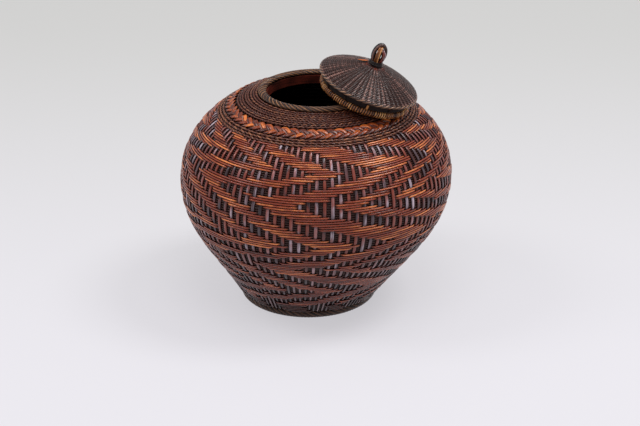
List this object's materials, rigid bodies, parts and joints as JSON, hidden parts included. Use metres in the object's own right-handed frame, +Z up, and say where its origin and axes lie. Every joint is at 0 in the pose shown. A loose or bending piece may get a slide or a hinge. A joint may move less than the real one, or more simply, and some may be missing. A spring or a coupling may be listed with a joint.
{
  "type": "lidded basket",
  "caption": "Round woven cane basket with a narrow roped mouth, a braided shoulder, a roped foot and a loose domed lid with a looped knob and a whipped collar.",
  "frame": {"origin": "on the ground, straight below the centre of the widest ring, which is the centre of the bottom of the bounding box", "axes": "+Z up; the lid leans over the mouth towards +X, and the basket's foot lies a little to -X"},
  "size_m": [0.2639, 0.2636, 0.2657],
  "materials": {
    "floor_weave": "satin dark split cane",
    "stake": "dark brown cane stakes with a grey-mauve sheen",
    "twill": "glossy rust-red split cane",
    "twining": "brown twined cane with rust streaks",
    "braid": "glossy orange-brown plaited cane",
    "dark_rope": "dark brown twisted cane",
    "hoop": "satin red-brown cane hoop",
    "lid_twining": "dark purple-brown fine twining with a soft sheen",
    "lid_centre": "dark red-brown cane",
    "whipping": "honey cane strip",
    "tie": "pale tan cane",
    "honey_strand": "glossy honey cane",
    "rust_strand": "glossy rust-pink cane"
  },
  "bodies": {
    "basket": {"base_weave": "floor_weave", "foot_rope": "dark_rope", "stake_wall_foot": "stake", "stake_wall_lower": "stake", "stake_wall_under_belly": "stake", "stake_wall_over_belly": "stake", "stake_wall_shoulder": "stake", "twill_weave": "twill", "lower_twining": "twining", "shoulder_braid": "braid", "upper_twining": "twining", "rim_rope": "dark_rope", "neck_hoop": "hoop"},
    "lid": {"lid_stakes": "stake", "lid_weave": "lid_twining", "lid_centre": "lid_centre", "lid_edge_rope": "dark_rope", "collar_band": "stake", "collar_hoop": "hoop", "collar_whipping": "whipping", "collar_tie_01": "tie", "collar_tie_02": "tie", "collar_tie_03": "tie", "collar_tie_04": "tie", "collar_tie_05": "tie", "collar_tie_06": "tie", "collar_tie_07": "tie", "collar_tie_08": "tie", "collar_tie_09": "tie", "collar_tie_10": "tie", "collar_tie_11": "tie", "collar_tie_12": "tie", "knob_loop_outer": "dark_rope", "knob_loop_middle": "honey_strand", "knob_loop_inner": "rust_strand", "knob_binding": "dark_rope", "knob_tail": "braid"}
  },
  "joints": [
    {"name": "lid_lift", "type": "slide", "parent": "basket", "child": "lid", "axis": [0, 0, 1], "range_m": [0, 0.15]}
  ]
}
